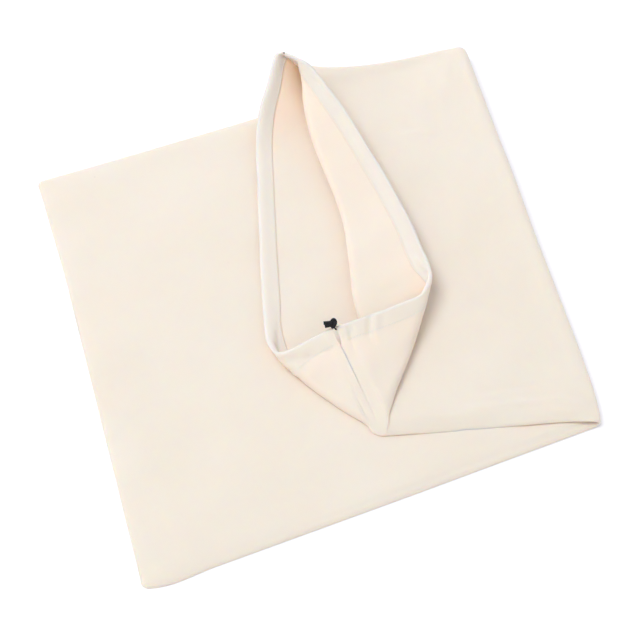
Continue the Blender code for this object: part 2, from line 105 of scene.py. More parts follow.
# The bottom's near corner reaches out beyond the plain rectangle, and its point is turned under
CORNER_OUT = 11.2
CORNER_OUT_WIDE = 360.0
CORNER_OUT_LONG = 350.0
CORNER_CUT = 3.5
CORNER_CUT_LONG = 13.0
CORNER_CUT_WIDE = 22.0
# The near seam is drawn in towards the bottom
NEAR_PULL = 1.8
NEAR_PULL_LONG = 260.0
NEAR_PULL_WIDE = 60.0

# Columns across the bag, one list for each layer
ACROSS_UPPER = (
    0, 1.3, 4, 12, 21, 30, 42, 57, 72, 85, 95, 104, 113, 122, 132, 145, 165, 195, 230, 270, 310, 350, 385,
    415, 440, 460, 475, 488, 496, 498.7, 500,
)
ACROSS_LOWER = (
    0, 1.3, 4, 12, 21, 31, 41, 50, 58, 65, 72, 80, 90, 105, 130, 165, 205, 245, 285, 320, 352, 380, 405,
    430, 447, 462, 476, 488, 496, 498.7, 500,
)

# across, x of the fold's outer edge, radius of the outer layer's roll
FOLD = (
    (0, 449, 5.4),
    (28, 457.5, 6),
    (66, 465.5, 6.9),
    (138, 478.5, 7.9),
    (230, 494.5, 9.2),
    (300, 508.5, 9.8),
    (370, 520.5, 10.4),
    (440, 533.5, 10.8),
    (500, 545.5, 9.6),
)
FOLD_SLANT = 0.182

# across, x, y, level under the crease, level of the layer turned back over it
UPPER_CREASE = (
    (12, 252, 77.5, 13.6, 14.6),
    (30, 262.5, 98, 14.2, 16),
    (55, 267, 127, 14.4, 18.5),
    (90, 269, 162, 14.5, 22.5),
    (127, 270, 198, 14.8, 25.5),
    (183, 286.3, 257.8, 15.2, 27.5),
    (250, 300.8, 316.8, 15.8, 28.5),
    (309, 305.3, 378.8, 16.4, 31),
    (365, 309, 430, 17.5, 36),
    (410, 315, 467, 20, 41),
    (440, 321, 490, 24, 45),
    (465, 326, 506, 31, 51),
    (488, 329, 521, 44, 57),
)

# across, x, y, level under the diagonal fold, level of the triangle over it
UPPER_DIAGONAL = (
    (12, 256, 77, 14.8, 17.8),
    (30, 272, 97.3, 16.2, 21.2),
    (55, 298.6, 125.5, 18, 27),
    (80, 321, 151.5, 20.8, 33),
    (95, 334.5, 168, 23.6, 36.5),
    (108, 345, 183.2, 26.5, 37),
    (120, 352.3, 192.8, 29.5, 36.5),
    (135, 356, 205, 32, 36),
    (150, 346.5, 220, 33.5, 35),
)
# Up to here across the cloth, the layers turn over a diagonal fold
DIAGONAL_ENDS = 150.0

# across, x, y, z of the mouth's rim on the upper layer
UPPER_RIM = (
    (0, 239.5, 176.5, 39),
    (12, 250, 176.5, 39.5),
    (30, 268, 176.4, 40.5),
    (75, 310, 177.3, 42),
    (108, 339, 182, 41),
    (130, 355.5, 198, 38.5),
    (160, 360.7, 230.8, 33.5),
    (190, 364.4, 262.5, 32),
    (232, 365.5, 305.2, 31.5),
    (272, 364.5, 344.2, 32.5),
    (310, 361.9, 381.3, 34.5),
    (352, 358.9, 419.2, 38),
    (390, 354, 453, 43),
    (425, 347, 484, 49),
    (458, 339.5, 507, 56),
    (482, 329, 521.5, 61.5),
    (500, 316, 533.5, 65),
)

# across, x, y, level under the diagonal fold, level of the triangle over it
LOWER_DIAGONAL = (
    (12, 235.3, 76.6, 7.4, 12.5),
    (30, 210, 115.2, 7.6, 15.5),
    (55, 187.8, 153.7, 7.8, 17.5),
    (66, 179.8, 170, 8, 16.5),
    (76, 177.5, 185, 8.4, 13.5),
    (100, 190, 209, 8.8, 10),
    (150, 203, 251, 9.5, 9.7),
)

# across, x, y, z of the mouth's rim on the lower layer, length over which the layer rises to it
LOWER_RIM = (
    (0, 236.5, 176.5, 39, 40),
    (12, 226, 176.5, 36.5, 40),
    (30, 208, 176, 31.5, 40),
    (50, 188.5, 175, 27, 40),
    (66, 176, 179, 22, 40),
    (82, 172.5, 193, 16.5, 40),
    (105, 176, 212, 12.5, 45),
    (145, 187, 251, 10, 45),
    (200, 201.5, 300.5, 9.5, 40),
    (257, 217.5, 352, 9.5, 40),
    (307, 232, 398, 11, 42),
    (362, 248.5, 449, 16, 42),
    (398, 261.5, 479, 26, 42),
    (420, 269.5, 492, 32, 46),
    (450, 286, 512, 44.5, 41),
    (476, 299.5, 531, 56, 40),
    (488, 306, 537, 61.5, 40),
    (500, 314, 535, 65, 37),
)
RISE_STRETCH = 1.6

# The flap's side seams from the fold to the mouth's rim: x, y, z
NEAR_SEAM = (
    (421, 12.5, 7.9),
    (372, 26.5, 6.8),
    (310, 43, 6.2),
    (268, 57.5, 6.8),
    (244.5, 66, 9.5),
    (244.3, 73.5, 13),
    (244.3, 92, 17.5),
    (239.5, 128, 26.5),
    (237.5, 154.5, 34),
    (238, 176.5, 39),
)
FAR_SEAM = (
    (512, 518.5, 14),
    (461, 521, 13),
    (422, 526, 13),
    (385, 531, 15),
    (362, 534, 19),
    (339, 535, 32),
    (321.5, 534.5, 50),
    (314.5, 533.5, 65),
)
# The near seam's turning point among its points, and the guide point on the diagonal fold
APEX_POINT = 5
DIAGONAL_GUIDE = 10

# The upper layer between the fold and the crease: share of the way, share of the fall to its level
FLAP_SETTLES = ((0.10, 0.5), (0.30, 1.0), (0.62, 1.0))
# Its guide point before the crease: distance, share of the change of level
BEFORE_CREASE = 15.0
BEFORE_CREASE_LEVEL = 0.6
# Past the crease: the first step and its largest share of the way, then shares of the way and of the rise
TURNED_STEP = 14.0
TURNED_STEP_SHARE = 0.3
TURNED_SHARES = (0.6, 0.85)
# The turned part's smallest width
NARROWEST = 0.1
# What stands for the diagonal fold past its end, as shares of the way to the rim
CORNER_SHARE = 0.83
CORNER_LEVELS = (0.6, 0.8)
# From the diagonal fold to the rim, as shares of the way
RIM_SHARES = (0.3, 0.65, 1.0)

# Rows from the bottom towards the fold: first at these distances, then at these shares of the rest
BODY_STEPS = (0, 1.3, 4, 12)
BODY_SHARES = (0.12, 0.34, 0.56, 0.78, 0.93, 1.0)
BODY_ROWS = len(BODY_STEPS) + len(BODY_SHARES)
ROLL_STEPS = 8
# Rows along the flap, as shares of its way to the hem's depth
FLAP_ROWS = (
    0.06, 0.15, 0.25, 0.32, 0.36, 0.385, 0.41, 0.44, 0.48, 0.55, 0.63, 0.68, 0.715, 0.745, 0.775, 0.81,
    0.9, 1.0,
)
# The hem's outside and its turned inside: distance from the rim, height above the layer towards the inside
HEM_OUTSIDE = ((16.8, 0.0), (12, 0.0), (8, 0.0), (4.6, 0.0), (1.2, 0.35), (0, 1.2))
HEM_INSIDE = ((1.2, 2.2), (4.6, 2.9), (8.0, 2.5), (12.0, 1.7), (16.8, 0.95), (18.6, 0.85))

# Longest steps of the refined grid: along the body, round the fold, along the flap, over the hem, and across
FINE_BODY = 8.6
FINE_ROLL = 2.2
FINE_FLAP = 3.8
FINE_HEM = 1.6
FINE_ACROSS = 5.4
# Finer across the triangle, where the rim puckers
FINE_PUCKERS = 2.6
PUCKERS_TO = 72.0
# How many steps the gaps between the columns beside a side seam get
SEAM_STEPS = (5, 3, 3, 3)
SPLINE_STEPS = 24
# Below these, a gap or a vector counts as this long
SMALLEST_GAP = 1e-6
SMALLEST_SIZE = 1e-9


def mix(a, b, t):
    """The value at a share t of the way from a to b."""
    return a + (b - a) * t


def ease(t):
    """A smooth step from 0 to 1."""
    t = np.clip(t, 0.0, 1.0)
    return t * t * (3 - 2 * t)


def rise(value, start, way):
    """A smooth step from 0 at the start to 1 at the end of the way."""
    return ease((value - start) / way)


def ridge(away, width):
    """A soft ridge, 1 on its line, at a distance from it."""
    return np.exp(-((away / width) ** 2))


def nose(t):
    """Half opening of a sheet that turns round a seam, as a share, at a share t of the way in from it."""
    return np.sqrt(np.clip(1 - (1 - np.clip(t, 0, 1)) ** NOSE_FORM, 0, 1))


def lift(plan, z):
    """A place in the plan raised to a level."""
    return np.array([plan[0], plan[1], z])


def in_frame(points):
    """Points of the body's frame as metres in the part's frame."""
    return [tuple((np.array(point) - BODY_ORIGIN) * MM) for point in points]


def slopes(values, gap):
    """Slopes of a smooth curve at each of its values, from the gaps between them."""
    slope = np.diff(values, axis=0) / gap
    inner = (slope[:-1] * gap[1:] + slope[1:] * gap[:-1]) / (gap[1:] + gap[:-1])
    return np.concatenate([slope[:1], inner, slope[-1:]])


def between(start, end, leave, arrive, t):
    """A point of a smooth curve between two others, which it leaves and reaches in the given directions."""
    near = start * (2 * t**3 - 3 * t**2 + 1) + leave * (t**3 - 2 * t**2 + t)
    return near + end * (3 * t**2 - 2 * t**3) + arrive * (t**3 - t**2)


def along(table, at):
    """Every column of a table at the given first-column values, on smooth curves through its rows."""
    rows = np.array(table, float)
    key = rows[:, 0]
    value = rows[:, 1:]
    gap = np.diff(key)[:, None]
    slope = slopes(value, gap)
    at = np.clip(np.atleast_1d(at).astype(float), key[0], key[-1])
    cell = np.clip(np.searchsorted(key, at, side="right") - 1, 0, len(key) - 2)
    t = ((at - key[cell]) / gap[cell, 0])[:, None]
    size = gap[cell]
    return between(value[cell], value[cell + 1], slope[cell] * size, slope[cell + 1] * size, t)


def hermite(grid, steps):
    """Refines a grid's first axis on smooth curves: every gap gets its own number of steps."""
    gap = np.linalg.norm(np.diff(grid, axis=0), axis=2)[:, :, None]
    gap = np.maximum(gap, SMALLEST_GAP)
    slope = slopes(grid, gap)
    rows = []
    for k, count in enumerate(steps):
        leave = slope[k] * gap[k]
        arrive = slope[k + 1] * gap[k]
        rows += [between(grid[k], grid[k + 1], leave, arrive, step / count) for step in range(count)]
    return np.array(rows + [grid[-1]])


def in_steps(values, steps):
    """A list of values refined in the same steps, on straight lines."""
    out = []
    for k, count in enumerate(steps):
        out += [mix(values[k], values[k + 1], step / count) for step in range(count)]
    return np.array(out + [values[-1]])


def spline(points, steps):
    """A smooth curve that starts and ends on the first and last guide point, as dense points."""
    ends = np.vstack([2 * points[0] - points[1], points, 2 * points[-1] - points[-2]])
    t = np.linspace(0, 1, steps, endpoint=False)[:, None]
    spans = []
    for a, b, c, d in zip(ends[:-3], ends[1:-2], ends[2:-1], ends[3:]):
        near = (1 - t) ** 3 * a + (3 * t**3 - 6 * t**2 + 4) * b
        spans.append((near + (3 * t**2 + 3 * t - 3 * t**3 + 1) * c + t**3 * d) / 6)
    return np.vstack(spans + [points[-1:]])


def ways(points):
    """How far along a line each of its points is."""
    steps = np.linalg.norm(np.diff(points, axis=0), axis=-1)
    return np.concatenate([np.zeros_like(steps[:1]), np.cumsum(steps, axis=0)])


def way_shares(points):
    """How far along a line each of its points is, as a share of the whole."""
    way = ways(points)
    return way / way[-1]


def stations(upper_flap):
    """The columns' places across a layer."""
    return np.array(ACROSS_UPPER if upper_flap else ACROSS_LOWER, float)


def fold_line(across):
    """Start of the roll, its outer radius, and the unit vectors across and along the fold."""
    edge, radius = along(FOLD, across)[0]
    size = math.hypot(1, FOLD_SLANT)
    return edge - radius, radius, np.array([1, -FOLD_SLANT]) / size, np.array([FOLD_SLANT, 1]) / size


def body_side(across, x):
    """The body's far seam runs a little outwards towards the fold."""
    return across * (1 + BODY_FLARE * ease(x / WIDTH))


def body_rows(across, upper, at_bottom):
    """Mid-surface points of the layer on the floor, or of the one over it, from the bottom to the fold."""
    start = fold_line(across)[0]
    stops = list(BODY_STEPS) + [mix(BODY_STEPS[-1], start, share) for share in BODY_SHARES]
    rows = []
    for x in stops:
        here = mix(at_bottom, across, rise(x, SEAM_NOSE, BOTTOM_BLEND))
        inset = min(here, WIDTH - here)
        share = min(nose(inset / SEAM_NOSE), nose(x / SEAM_NOSE))
        half = BODY_GAP / 2 * share
        lying = mix(EDGE_LEVEL, 1.0, rise(x, start - EDGE_RISE, EDGE_RISE))
        z = FLOOR_LAYER + BODY_GAP / 2 * max(lying, share) + (half if upper else -half)
        cut = np.array([BLUNT_CORNER - x, BLUNT_CORNER - inset])
        reach = np.linalg.norm(np.maximum(cut, 0))
        if reach > 0:
            cut = np.where(cut > 0, cut * np.max(np.maximum(cut, 0)) / reach, cut)
        y = BLUNT_CORNER - cut[1]
        y = body_side(y if here < WIDTH / 2 else WIDTH - y, x)
        y += CORNER_CUT * max(0, 1 - x / CORNER_CUT_LONG) * max(0, 1 - here / CORNER_CUT_WIDE)
        y += NEAR_PULL * max(0, 1 - x / NEAR_PULL_LONG) * max(0, 1 - here / NEAR_PULL_WIDE)
        out = CORNER_OUT * max(0, 1 - here / CORNER_OUT_WIDE) * max(0, 1 - x / CORNER_OUT_LONG)
        rows.append((BLUNT_CORNER - cut[0] - out, y, z))
    return rows


def roll_rows(across, upper):
    """The two layers round the fold: the floor layer outside, the other inside it."""
    start, outer, over, line = fold_line(across)
    side = nose(min(across, WIDTH - across) / SEAM_NOSE)
    middle = outer - BODY_GAP / 2
    radius = middle + (-side if upper else side) * BODY_GAP / 2
    base = np.array([start, body_side(across, start)])
    rows = []
    for step in range(1, ROLL_STEPS + 1):
        turn = math.pi * step / ROLL_STEPS
        plan = base + over * radius * math.sin(turn) + line * FOLD_SLANT * middle * turn
        rows.append((plan[0], plan[1], FLOOR_LAYER + outer - radius * math.cos(turn)))
    return rows


def roll_end(across, upper):
    """The last point of a layer round the fold, where the flap starts."""
    return np.array(roll_rows(across, upper)[-1])


def to_rim(turned, rim):
    """Guide points from the upper side of a diagonal fold to the rim."""
    return [turned] + [mix(turned, rim, share) for share in RIM_SHARES]


def upper_guides(across):
    """Guide points of the flap's upper layer, from the fold to the rim."""
    start = roll_end(across, False)
    rim = along(UPPER_RIM, across)[0]
    x, y, low, back = along(UPPER_CREASE, across)[0]
    crease = np.array([x, y])
    if across < DIAGONAL_ENDS:
        x, y, under, over = along(UPPER_DIAGONAL, across)[0]
        corner = np.array([x, y])
    else:
        corner = mix(crease, rim[:2], CORNER_SHARE)
        under, over = [mix(back, rim[2], share) for share in CORNER_LEVELS]
    flat = start[:2] - crease
    before = crease + flat / np.linalg.norm(flat) * BEFORE_CREASE
    width = max(np.linalg.norm(corner - crease), NARROWEST)
    points = [start]
    for share, settle in FLAP_SETTLES:
        points.append(lift(mix(start[:2], crease, share), mix(start[2], FLAP_TOP, settle)))
    points.append(lift(before, mix(FLAP_TOP, low, BEFORE_CREASE_LEVEL)))
    points.append(lift(crease, low))
    points.append(lift(crease, back))
    points.append(lift(mix(crease, corner, min(TURNED_STEP / width, TURNED_STEP_SHARE)), back))
    for share in TURNED_SHARES:
        points.append(lift(mix(crease, corner, share), mix(back, under, share)))
    points.append(lift(corner, under))
    return np.array(points + to_rim(lift(corner, over), rim))


def lower_guides(across):
    """Guide points of the flap's lower layer, at the upper layer's shares of the way to the rim."""
    start = roll_end(across, True)
    x, y, z, way = along(LOWER_RIM, across)[0]
    rim = np.array([x, y, z])
    shares = way_shares(upper_guides(across))
    points = []
    if across < DIAGONAL_ENDS:
        x, y, under, over = along(LOWER_DIAGONAL, across)[0]
        corner = np.array([x, y])
        for share in shares[:DIAGONAL_GUIDE + 1]:
            plan = mix(start[:2], corner, share / shares[DIAGONAL_GUIDE])
            points.append(lift(plan, mix(start[2], under, ease(share / SETTLE_SHARE))))
        return np.array(points + to_rim(lift(corner, over), rim))
    length = np.linalg.norm(start[:2] - rim[:2])
    for share in shares:
        level = mix(start[2], FLAP_LOW, ease(share / SETTLE_SHARE))
        raised = ease(1 - length * (1 - share) / (RISE_STRETCH * way))
        points.append(lift(mix(start[:2], rim[:2], share), mix(level, z, raised)))
    return np.array(points)


def seam_guides(path, across, beside, turn=None):
    """Guide points of a side seam along the flap, at the shares of the way of the upper layer beside it.

    Where the seam turns up with the layers, its own turning point falls on their diagonal fold.
    """
    start = 0.5 * (roll_end(across, False) + roll_end(across, True))
    line = np.vstack([start, path])
    shares = way_shares(line)
    beside_it = way_shares(upper_guides(beside))
    if turn is not None:
        shares = np.interp(shares, (0, shares[turn], 1), (0, beside_it[DIAGONAL_GUIDE], 1))
    return along(np.column_stack([shares, line]), beside_it)


def hem_places(across, upper_flap):
    """How far a place is into the hem's change at the far tip, and into that at the rim's near corner."""
    corner = UPPER_CORNER if upper_flap else LOWER_CORNER
    return rise(across, FAR_HEM_FROM, WIDTH - FAR_HEM_FROM), ease(1 - np.abs(across - corner) / CORNER_REACH)


def hem_scale(across, upper_flap):
    """The hem narrows at the mouth's far tip and follows the rim's sharp turns at its near corners."""
    far, corner = hem_places(across, upper_flap)
    return mix(1.0, FAR_HEM, far) * mix(1.0, UPPER_CORNER_HEM if upper_flap else LOWER_CORNER_HEM, corner)


def flap_rows(guides, scale):
    """The flap's rows up to the hem's depth, then those of the hem's outside."""
    curve = spline(guides, SPLINE_STEPS)
    away = ways(curve[::-1])[::-1]
    index = np.arange(len(curve), dtype=float)
    hem = np.interp(-SLIT * scale, -away, index)
    stops = [share * hem for share in FLAP_ROWS]
    stops += [np.interp(-distance * scale, -away, index) for distance, _ in HEM_OUTSIDE]
    return np.array([at_way(curve, index, stop) for stop in stops])


def at_way(line, way, at):
    """The point of a line at a distance along it."""
    return np.array([np.interp(at, way, line[:, k]) for k in range(3)])


def head_rows(across, upper_flap, at_bottom):
    """A column's rows on the body and round the fold. The body's top layer becomes the flap's lower one."""
    on_top = not upper_flap
    return np.array(body_rows(across, on_top, at_bottom) + roll_rows(across, on_top))


def tail_rows(across, upper_flap):
    """A column's rows on the flap, before the hem is raised."""
    guides = upper_guides(across) if upper_flap else lower_guides(across)
    return flap_rows(guides, hem_scale(across, upper_flap))


def panel(upper_flap):
    """A panel's columns. Those near a side seam close round it, on the seam's own line."""
    first = SEAM_NOSE
    last = WIDTH - SEAM_NOSE
    past_slit = np.arange(len(FLAP_ROWS) + len(HEM_OUTSIDE)) - len(FLAP_ROWS)
    near_open = mix(NEAR_SLIT_OPEN, NEAR_SLIT_TOP, rise(past_slit, NEAR_TOP_ROW, SLIT_OPEN_ROWS))
    sides = (
        (flap_rows(seam_guides(NEAR_SEAM, 0, first, APEX_POINT), 1.0), first, near_open, 0.0),
        (flap_rows(seam_guides(FAR_SEAM, WIDTH, last), FAR_HEM), last, FAR_SLIT_OPEN, 1.0),
    )
    columns = []
    at_bottom = (stations(True) + stations(False)) / 2
    for across, bottom in zip(stations(upper_flap), at_bottom):
        if first <= across <= last:
            tail = tail_rows(across, upper_flap)
        else:
            seam, edge, opening, pointed = sides[0 if across < first else 1]
            own = tail_rows(edge, upper_flap)
            other = tail_rows(edge, not upper_flap)
            t = min(across, WIDTH - across) / SEAM_NOSE
            opened = (opening * rise(past_slit, -1, SLIT_OPEN_ROWS))[:, None]
            point = pointed * rise(past_slit, -TIP_ROWS, TIP_ROWS)[:, None]
            spread = opened + (1 - opened) * mix(nose(t), t, point)
            tail = mix(seam, 0.5 * (own + other), t) + 0.5 * (own - other) * spread
        columns.append(np.vstack([head_rows(across, upper_flap, bottom), tail]))
    return np.array(columns).transpose(1, 0, 2)


def unit(vectors):
    """The vectors of a grid at length one."""
    return vectors / np.maximum(np.linalg.norm(vectors, axis=-1), SMALLEST_SIZE)[..., None]


def outward_normals(points, upper_flap):
    """Unit normals of a layer's grid, towards the bag's outside."""
    normal = unit(np.cross(np.gradient(points, axis=0), np.gradient(points, axis=1)))
    return -normal if upper_flap else normal


def inward_normals(grid, upper_flap):
    """Even unit normals towards the bag's inside, kept steady at the far slit."""
    normal = -outward_normals(grid, upper_flap)
    padded = np.concatenate([normal[:, :1], normal, normal[:, -1:]], axis=1)
    normal = unit(padded[:, :-2] + 2 * padded[:, 1:-1] + padded[:, 2:])
    steady = normal[:, -NOSE_COLUMNS - 1:-NOSE_COLUMNS]
    normal[:, -NOSE_COLUMNS:] = mix(normal[:, -NOSE_COLUMNS:], steady, STEADY)
    return unit(normal)


def raise_hem(grid, upper_flap):
    """Turns the hem in at the rim. Returns the cloth's grid, and the cord's way through the casing."""
    start = len(grid) - len(HEM_OUTSIDE) - 1
    normal = inward_normals(grid, upper_flap)
    depth = [SLIT] + [distance for distance, _ in HEM_OUTSIDE]
    columns = np.arange(grid.shape[1])
    at_slit = np.minimum(columns, columns[::-1]) < NOSE_COLUMNS
    taper = np.where(at_slit, SLIT_TAPER, 1.0)
    far, corner = hem_places(stations(upper_flap), upper_flap)
    swell = 1 + FAR_SWELL * far + CORNER_SWELL * corner

    def over(distance, height, taper=1.0):
        """A row at a distance from the rim and a height over the layer."""
        back = -distance * taper * np.ones(len(columns))
        where = start + np.interp(back, [-d for d in depth], range(len(depth)))
        low = np.minimum(where.astype(int), len(grid) - 2)
        share = (where - low)[:, None]
        tilt = mix(normal[low, columns], normal[low + 1, columns], share)
        return mix(grid[low, columns], grid[low + 1, columns], share) + tilt * height * swell[:, None]

    rows = list(grid[:start + 1])
    rows += [over(distance, height) for distance, height in HEM_OUTSIDE]
    rows += [over(distance, height, taper) for distance, height in HEM_INSIDE]
    return np.array(rows), over(CHANNEL_DEPTH, CHANNEL_HEIGHT)


def row_steps(grids):
    """How many steps every gap between two rows gets, the same in both layers."""
    gaps = np.mean([np.linalg.norm(np.diff(g, axis=0), axis=2).mean(axis=1) for g in grids], axis=0)
    sizes = [FINE_BODY] * (BODY_ROWS - 1) + [FINE_ROLL] * ROLL_STEPS + [FINE_FLAP] * len(FLAP_ROWS)
    sizes += [FINE_HEM] * (len(gaps) - len(sizes))
    return [max(1, math.ceil(gap / size)) for gap, size in zip(gaps, sizes)]


def column_steps():
    """How many steps every gap between two columns gets, finer beside the seams."""
    places = (stations(True) + stations(False)) / 2
    size = np.where(places[1:] < PUCKERS_TO, FINE_PUCKERS, FINE_ACROSS)
    steps = [max(1, math.ceil(gap)) for gap in np.diff(places) / size]
    for k, count in enumerate(SEAM_STEPS):
        steps[k] = count
        steps[-1 - k] = count
    return steps


# Soft folds and puckers: where, start x, y, end x, y, half width, height (minus is a valley)
FOLDS = (
    ("body", 8, 458, 14, 416, 3, 1),
    ("body", 10, 428, 25, 385, 3.5, -0.9),
    ("body", 6, 376, 4, 325, 4, 0.9),
    ("body", -6, 159, 32, 183, 3.5, 1.2),
    ("body", 0, 148, 30, 172, 3.5, -0.8),
    ("body", 40, 300, 95, 318, 8, 0.7),
    ("flap", 333, 56, 383, 46, 3.5, 1.1),
    ("flap", 383, 46, 421, 35, 3.5, 1.3),
    ("flap", 421, 35, 446, 16, 3.5, 1),
    ("flap", 350, 70, 410, 58, 4, -0.7),
    ("flap", 395, 411, 460, 399, 3, 0.8),
    ("flap", 388, 418, 440, 410, 3, -0.6),
    ("turned", 315, 401, 352, 404, 5, -0.9),
    ("turned", 296, 262, 350, 284, 9, 0.8),
    ("turned", 300, 200, 345, 214, 9, -0.8),
    ("mouth", 222, 240, 236, 205, 7, 0.6),
    ("triangle", 275.5, 174, 268, 156, 3.2, -1.9),
    ("triangle", 281, 173, 274, 157, 3.4, 1.2),
    ("triangle", 253.5, 172, 246.5, 150, 3, -1.4),
    ("triangle", 291, 176, 284, 159, 3, -0.5),
    ("triangle", 174, 168, 205, 161, 4, -1),
    ("triangle", 204, 160, 234, 157, 3.5, -1),
    ("triangle", 192, 146, 225, 150, 6, 0.8),
    ("triangle", 244, 122, 284, 156, 9, 0.8),
)
# Undulations: where, seed, longest and shortest wave, height
UNDULATIONS = (
    ("body", 3, 190, 60, 0.6),
    ("body", 11, 50, 20, 0.16),
    ("flap", 5, 170, 55, 0.6),
    ("flap", 12, 45, 20, 0.18),
    ("turned", 7, 120, 40, 0.45),
    ("mouth", 8, 120, 40, 0.35),
    ("triangle", 9, 70, 30, 0.3),
)
# Where the relief comes in: rows at the fold, height of what is turned up, distance from the seams
FOLD_FADE = 6.0
BODY_ENDS = 14
BODY_FADE = 8.0
TURNED_UP = 17.0
TURNED_FADE = 4.0
SIDE_FADE = 16.0
# How far up a surface has to face, and over what range its relief comes in
FACING = 0.2
FACING_FADE = 0.5
# The near seam on the triangle: height where it starts, rows over which it ends, its groove and its lip
SEAM_STARTS = 13.0
SEAM_ENDS = 5.0
SEAM_GROOVE = 0.9
SEAM_GROOVE_WIDTH = 1.0
SEAM_LIP = 0.35
SEAM_LIP_AT = 2.6
SEAM_LIP_WIDTH = 1.3
# The groove beside the body's near seam: place, depth, width, and where along the bag it comes in
EDGE_BEAD = 7.0
EDGE_GROOVE = 0.9
EDGE_GROOVE_WIDTH = 1.4
EDGE_FROM = 60.0
EDGE_FADE = 160.0


def side_ways(points):
    """Every point's distance from the near and from the far side seam, measured across the cloth."""
    near = ways(points.transpose(1, 0, 2)).T
    return near, near[:, -1:] - near


def waves(x, y, seed, longest, shortest, count=16):
    """A smooth uneven surface of many crossing waves, about one high, the same every time."""
    pick = np.random.default_rng(seed)
    total = np.zeros_like(x)
    for _ in range(count):
        length = mix(longest, shortest, pick.random())
        turn = pick.random() * 2 * math.pi
        start = pick.random() * 2 * math.pi
        total += np.sin((x * math.cos(turn) + y * math.sin(turn)) * 2 * math.pi / length + start)
    return total / math.sqrt(count / 2)


def relief(points, upper_flap, roll_row, joined):
    """How far every point of a layer stands out from its plain form, towards the bag's outside."""
    x, y, z = points.transpose(2, 0, 1)
    rows = np.arange(len(points))[:, None]
    near, far = side_ways(points)
    from_side = ease(np.minimum(near, far) / SIDE_FADE)
    past_fold = rise(rows, roll_row, FOLD_FADE)
    turned_up = rise(z, TURNED_UP, TURNED_FADE)
    up = outward_normals(points, upper_flap)[:, :, 2]
    outside_up = rise(up, FACING, FACING_FADE)
    inside_up = rise(-up, FACING, FACING_FADE)
    masks = {
        "body": (1 - rise(rows, roll_row - BODY_ENDS, BODY_FADE)) * (not upper_flap) * from_side,
        "flap": past_fold * (1 - turned_up) * outside_up * upper_flap * from_side,
        "turned": -past_fold * inside_up * turned_up * upper_flap * from_side,
        "mouth": -past_fold * inside_up * (not upper_flap) * from_side,
        "triangle": past_fold * turned_up * outside_up,
    }
    lift_by = np.zeros_like(x)
    for where, seed, longest, shortest, height in UNDULATIONS:
        wave = waves(x, y, seed, longest, shortest)
        lift_by += masks[where] * height * (wave + 1.0 if where == "body" else wave)
    for where, x0, y0, x1, y1, width, height in FOLDS:
        size = math.hypot(x1 - x0, y1 - y0)
        share = np.clip(((x - x0) * (x1 - x0) + (y - y0) * (y1 - y0)) / size**2, 0, 1)
        away = np.hypot(x - mix(x0, x1, share), y - mix(y0, y1, share))
        lift_by += masks[where] * height * ridge(away, width)
    seam_up = rise(z[:, :1], SEAM_STARTS, TURNED_FADE) * (1 - rise(rows, joined, SEAM_ENDS))
    lift_by -= seam_up * SEAM_GROOVE * ridge(near, SEAM_GROOVE_WIDTH)
    if not upper_flap:
        lift_by += seam_up * SEAM_LIP * ridge(near - SEAM_LIP_AT, SEAM_LIP_WIDTH)
        along_edge = rise(x, EDGE_FROM, EDGE_FADE) * (1 - rise(rows, roll_row - FOLD_FADE, FOLD_FADE))
        lift_by -= along_edge * EDGE_GROOVE * ridge(near - EDGE_BEAD, EDGE_GROOVE_WIDTH)
    return lift_by


def turn_in(shift, to_rim, rim):
    """Gives the turned-in hem the shift of the cloth it lies on, at the same distance from the rim."""
    for c in range(shift.shape[1]):
        outside = to_rim[rim::-1, c]
        for k in range(3):
            shift[rim + 1:, c, k] = np.interp(-to_rim[rim + 1:, c], outside, shift[rim::-1, c, k])


def fine_layers():
    """Both refined layers, the last sewn row, the stitches' rows, and the cord's two ways."""
    raised = [raise_hem(panel(upper_flap), upper_flap) for upper_flap in (True, False)]
    down = row_steps([grid for grid, _ in raised])
    over = column_steps()
    last_joined = BODY_ROWS + ROLL_STEPS + len(FLAP_ROWS) - 1
    roll_row = sum(down[:BODY_ROWS + ROLL_STEPS - 1])
    joined = sum(down[:last_joined])
    rim = sum(down[:last_joined + len(HEM_OUTSIDE)])
    stitch_rows = (sum(down[:last_joined + 1]), sum(down[:-1]))
    layers = []
    cord_ways = []
    for (grid, cord_way), upper_flap in zip(raised, (True, False)):
        fine = hermite(grid, down)
        fine = hermite(fine.transpose(1, 0, 2), over).transpose(1, 0, 2)
        stand = relief(fine, upper_flap, roll_row, joined)
        shift = outward_normals(fine, upper_flap) * stand[:, :, None]
        way = ways(fine)
        from_rim = way[rim] - way
        turn_in(shift, from_rim, rim)
        points = fine + shift
        points[:, :, 2] = np.maximum(points[:, :, 2], THICKNESS / 2)
        layers.append({"points": points, "across": in_steps(stations(upper_flap), over), "to_rim": from_rim})
        at_cord = np.argmin(np.abs(from_rim[:rim] - CHANNEL_DEPTH), axis=0)
        cord_way = hermite(cord_way[:, None], over)[:, 0] + shift[at_cord, np.arange(fine.shape[1])]
        cord_ways.append(cord_way[sum(over[:ENTRY_COLUMNS]):])
    return layers, joined, stitch_rows, cord_ways


def mesh_piece(name, vertices, faces, look):
    """A piece with a smooth mesh in one material, from points in metres."""
    mesh = bpy.data.meshes.new(name)
    mesh.from_pydata(vertices, [], faces)
    mesh.materials.append(look)
    mesh.shade_smooth()
    return place_piece(name, mesh)


def place_piece(name, data):
    """Puts a mesh, curve, lamp or camera into the scene as an object."""
    piece = bpy.data.objects.new(name, data)
    bpy.context.scene.collection.objects.link(piece)
    return piece


def plain_mesh(piece):
    """A piece's final shape as a mesh of its own."""
    depsgraph = bpy.context.evaluated_depsgraph_get()
    return bpy.data.meshes.new_from_object(piece.evaluated_get(depsgraph), depsgraph=depsgraph)


